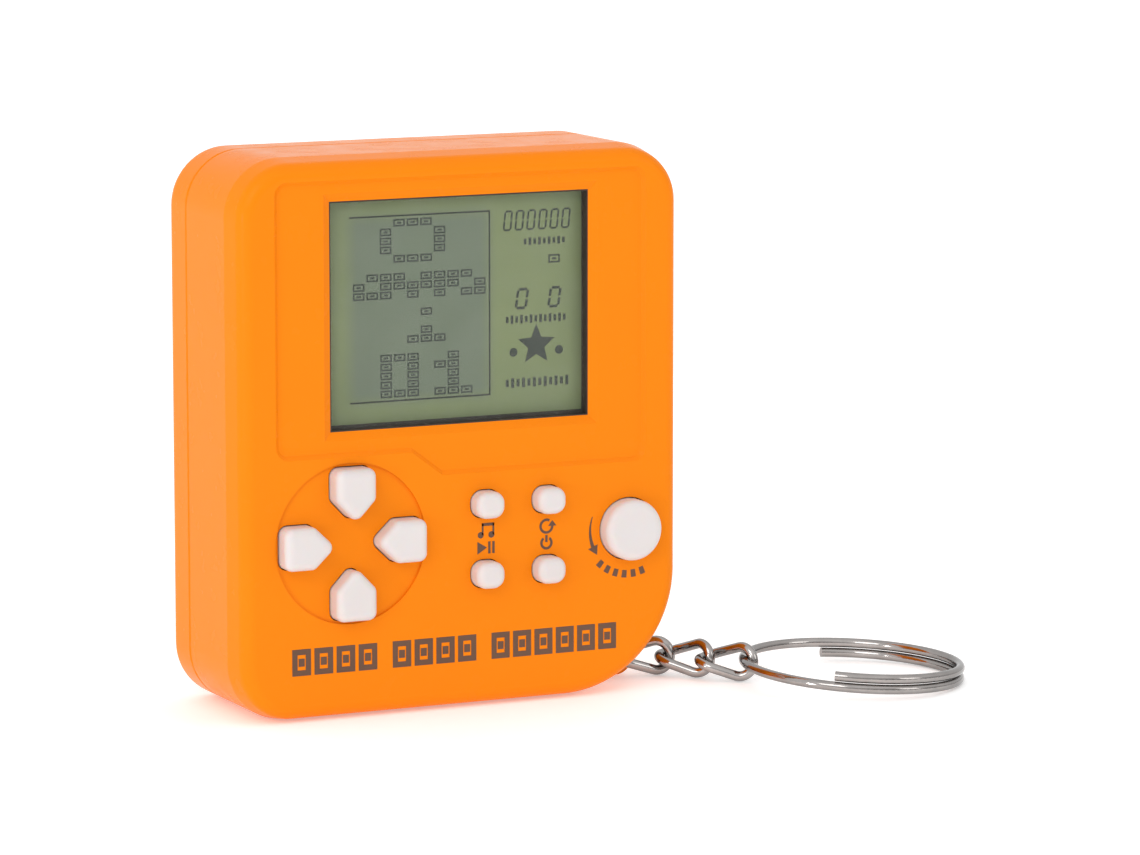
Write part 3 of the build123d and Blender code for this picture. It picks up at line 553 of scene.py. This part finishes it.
def make_rotate_signs(ink):
    """A curved arrow to the left of the round key and six dashes that follow its lower left side."""
    signs = bmesh.new()
    x, z = key_middle("rotate")
    steps, start, sweep = 16, 160, 42    # the arrow's stroke, in degrees about the key
    reach = 4.75 * MM
    thin, growth = 0.08, 0.34
    turns = [radians(start + sweep * i / steps) for i in range(steps + 1)]
    widths = [(thin + growth * i / steps) * MM for i in range(steps + 1)]
    outer = [(x + (reach + w / 2) * cos(t), z + (reach + w / 2) * sin(t)) for t, w in zip(turns, widths)]
    inner = [(x + (reach - w / 2) * cos(t), z + (reach - w / 2) * sin(t)) for t, w in zip(turns, widths)]
    add_print(signs, outer + inner[::-1])
    base, tip = radians(start + sweep), radians(215)
    half = 0.62 * MM
    add_print(signs, [(x + (reach - half) * cos(base), z + (reach - half) * sin(base)),
                      (x + (reach + half) * cos(base), z + (reach + half) * sin(base)),
                      (x + reach * cos(tip), z + reach * sin(tip))])
    dash_count, dash_start, dash_pitch, dash_sweep = 6, 224, 12.4, 6.5
    for i in range(dash_count):
        start = dash_start + i * dash_pitch
        add_print(signs, arc_band(x, z, 5.15 * MM, 0.85 * MM, start, start + dash_sweep, 4))
    make_object("rotate_signs", signs, ink)


# ------------------------------------------------------------------ rubber domes under the keys
KEY_NAMES = ("up", "down", "left", "right", "music", "start_pause", "reset", "power", "rotate")


def make_dome(name, rubber):
    """A hollow silicone dome with a soft shoulder, a springy wall and a pill inside."""
    low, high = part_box(f"dome_{name}")
    x, z, foot = (low.x + high.x) / 2, (low.z + high.z) / 2, (high.x - low.x) / 2 / MM
    tall = high.y - low.y
    # from the middle of the top round to the middle of the pill: distance out in mm, share of the height
    core, pill = 0.3, 0.9
    profile = (
        (core, 0.0), (foot - 0.86, 0.0), (foot - 0.72, 0.03), (foot - 0.64, 0.11), (foot - 0.48, 0.35),
        (foot - 0.24, 0.75), (foot - 0.05, 0.97), (foot - 0.01, 1.0), (foot - 0.5, 1.0), (foot - 0.58, 0.85),
        (foot - 0.84, 0.46), (pill, 0.44), (pill, 0.65), (pill - 0.04, 0.68), (core, 0.68),
    )
    bm = bmesh.new()
    count = 48
    rings = [[bm.verts.new((px, low.y + depth * tall, pz)) for px, pz in disc(x, z, reach * MM, count)]
             for reach, depth in profile]
    for near, far in zip(rings, rings[1:]):
        for i in range(count):
            j = (i + 1) % count
            bm.faces.new((near[i], near[j], far[j], far[i]))
    for ring in (rings[0], rings[-1]):
        bm.faces.new(ring)
    piece = make_object(f"silicone_dome_{name}", bm, rubber)
    for face in piece.data.polygons:
        face.use_smooth = True
    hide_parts(f"dome_{name}")
    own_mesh(piece)


# ------------------------------------------------------------------ the pieces get their materials
def dress(materials):
    """Gives every CAD node its material, by the record's material slots."""
    for part in frame["record"]["subparts"]:
        node = frame["nodes"][part["node"]]
        mat = materials[part["material_slot"]]
        node.data.materials.clear()
        node.data.materials.append(mat)


# moulded: colour, roughness range, grains per metre, relief in metres, share by which the colour varies
materials = {
    "case_orange": orange_plastic(),
    "key_white": moulded("white_silicone", (0.69, 0.655, 0.645), (0.3, 0.42), 5000, 2e-6, 0.015,
                         Subsurface_Weight=0.25, Subsurface_Scale=0.0012),
    "silicone_grey": moulded("grey_silicone", (0.34, 0.35, 0.36), (0.5, 0.65), 4000, 3e-6, 0.05),
    "screw_steel": metal("zinc_plate", (0.56, 0.57, 0.58), (0.22, 0.38)),
    # the chain's metal gets a painted dark reflection towards its edges
    "chain_nickel": metal("nickel_plate_painted_shade", (0.44, 0.412, 0.396), (0.07, 0.18), painted_dark_rim=0.95),
    "lens_clear": clear_plastic(),
    "polariser": display_film(),
    "lcd_glass": moulded("display_glass", (0.34, 0.4, 0.25), (0.05, 0.12), 3000, 5e-7, 0.04),
    "reflector": moulded("reflector_film", (0.3, 0.34, 0.2), (0.4, 0.55), 12000, 2e-6, 0.05),
    "foam_white": moulded("foam", (0.7, 0.7, 0.66), (0.8, 0.95), 2500, 6e-5, 0.08),
    "zebra_rubber": striped_rubber(),
    "board_green": circuit_board(),
    "epoxy_black": moulded("black_epoxy", (0.012, 0.012, 0.013), (0.12, 0.3), 1500, 8e-6, 0.2),
    "resistor_black": moulded("resistor_film", (0.02, 0.02, 0.022), (0.35, 0.5), 8000, 3e-6, 0.2),
    "capacitor_tan": moulded("tan_ceramic", (0.3, 0.2, 0.1), (0.3, 0.45), 8000, 2e-6, 0.1),
    "capacitor_sleeve": moulded("dark_sleeve", (0.01, 0.015, 0.05), (0.2, 0.35), 3000, 2e-6, 0.1),
    "cell_steel": metal("stainless", (0.62, 0.62, 0.63), (0.15, 0.3)),
    "contact_nickel": metal("spring_strip", (0.6, 0.59, 0.55), (0.2, 0.35)),
    "buzzer_brass": metal("thin_brass", (0.72, 0.5, 0.2), (0.18, 0.35)),
    "buzzer_ceramic": moulded("silvered_ceramic", (0.62, 0.61, 0.57), (0.3, 0.5), 6000, 4e-6, 0.06),
    "wire_red": moulded("red_insulation", (0.42, 0.012, 0.01), (0.3, 0.45), 5000, 2e-6, 0.08),
    "wire_black": moulded("black_insulation", (0.012, 0.012, 0.012), (0.3, 0.45), 5000, 2e-6, 0.1),
}
dress(materials)

print_ink = moulded("print_ink", (0.115, 0.052, 0.026), (0.35, 0.5), 6000, 2e-6, 0.12)
frame_ink = moulded("display_line_ink", (0.012, 0.014, 0.011), (0.45, 0.6), 6000, 1e-6, 0.1)
block_ink = moulded("display_block_ink", (0.022, 0.028, 0.022), (0.45, 0.6), 6000, 1e-6, 0.12)
# dark colour for the painted shade on the window's walls and round the display
painted_shade_liner = moulded("painted_shade_liner", (0.035, 0.024, 0.018), (0.5, 0.65), 4000, 4e-6, 0.15)

make_display(frame_ink, block_ink)
make_window_surround(painted_shade_liner)
make_title_strip(print_ink)
make_key_signs(print_ink)
make_rotate_signs(print_ink)
for key_name in KEY_NAMES:
    make_dome(key_name, materials["silicone_grey"])


# ------------------------------------------------------------------ studio
def make_floor():
    """A wide pale floor."""
    bm = bmesh.new()
    half = 3.0
    bm.faces.new([bm.verts.new((x * half, y * half, 0)) for x, y in ((-1, -1), (1, -1), (1, 1), (-1, 1))])
    mesh = bpy.data.meshes.new("floor")
    bm.to_mesh(mesh)
    bm.free()
    floor = bpy.data.objects.new("floor", mesh)
    bpy.context.scene.collection.objects.link(floor)
    pale = moulded("pale_floor", (0.95, 0.95, 0.95), (0.55, 0.65), 400, 1e-6, 0.005,
                   Emission_Color=(1, 1, 1, 1), Emission_Strength=0.28)
    mesh.materials.append(pale)


def make_light(name, place, target, size, power):
    """A soft square light aimed at a point."""
    data = bpy.data.lights.new(name, "AREA")
    data.shape = "SQUARE"
    data.size = size
    data.energy = power
    light = bpy.data.objects.new(name, data)
    light.location = place
    light.rotation_euler = (Vector(target) - Vector(place)).to_track_quat("-Z", "Y").to_euler()
    bpy.context.scene.collection.objects.link(light)


def make_world():
    """White surroundings above, behind and to the left, falling off to grey at the front right."""
    world = bpy.data.worlds.new("studio")
    world.use_nodes = True
    tree = world.node_tree
    coord = tree.nodes.new("ShaderNodeTexCoord")
    lean = tree.nodes.new("ShaderNodeVectorMath")
    lean.operation = "DOT_PRODUCT"
    lean.inputs[1].default_value = Vector((-0.25, 0.5, 0.75)).normalized()
    tree.links.new(coord.outputs["Generated"], lean.inputs[0])
    dimmest, brightest = 0.28, 1.0
    fade_start, fade_end = -0.55, 0.1    # along the lean, from -1 to 1
    level = remap(tree, lean.outputs["Value"], dimmest, brightest, fade_start, fade_end)
    tree.links.new(level, tree.nodes["Background"].inputs["Strength"])
    tree.nodes["Background"].inputs["Color"].default_value = (1, 1, 1, 1)
    bpy.context.scene.world = world


def make_camera():
    """A long lens from the left and a little above."""
    yaw, elevation, distance = radians(25.6), radians(8.42), 0.619
    target = Vector((17.28, -1.3, 29.27)) * MM
    forward = Vector((sin(yaw) * cos(elevation), cos(yaw) * cos(elevation), -sin(elevation)))
    data = bpy.data.cameras.new("camera")
    data.lens = 172.8
    data.clip_start = 0.05
    camera = bpy.data.objects.new("camera", data)
    camera.location = target - forward * distance
    camera.rotation_euler = forward.to_track_quat("-Z", "Y").to_euler()
    bpy.context.scene.collection.objects.link(camera)
    bpy.context.scene.camera = camera


# each light: where it stands, what it is aimed at, its width in metres and its watts
middle = (0.01, 0, 0.03)
make_floor()
make_world()
make_light("key", (-0.45, -0.5, 0.45), middle, 0.35, 1.0)
make_light("fill", (0.5, -0.6, 0.3), middle, 0.3, 0.5)
make_light("edge", (-0.52, -0.24, 0.05), middle, 0.05, 0.3)
make_camera()
bpy.context.scene.view_settings.view_transform = "Standard"
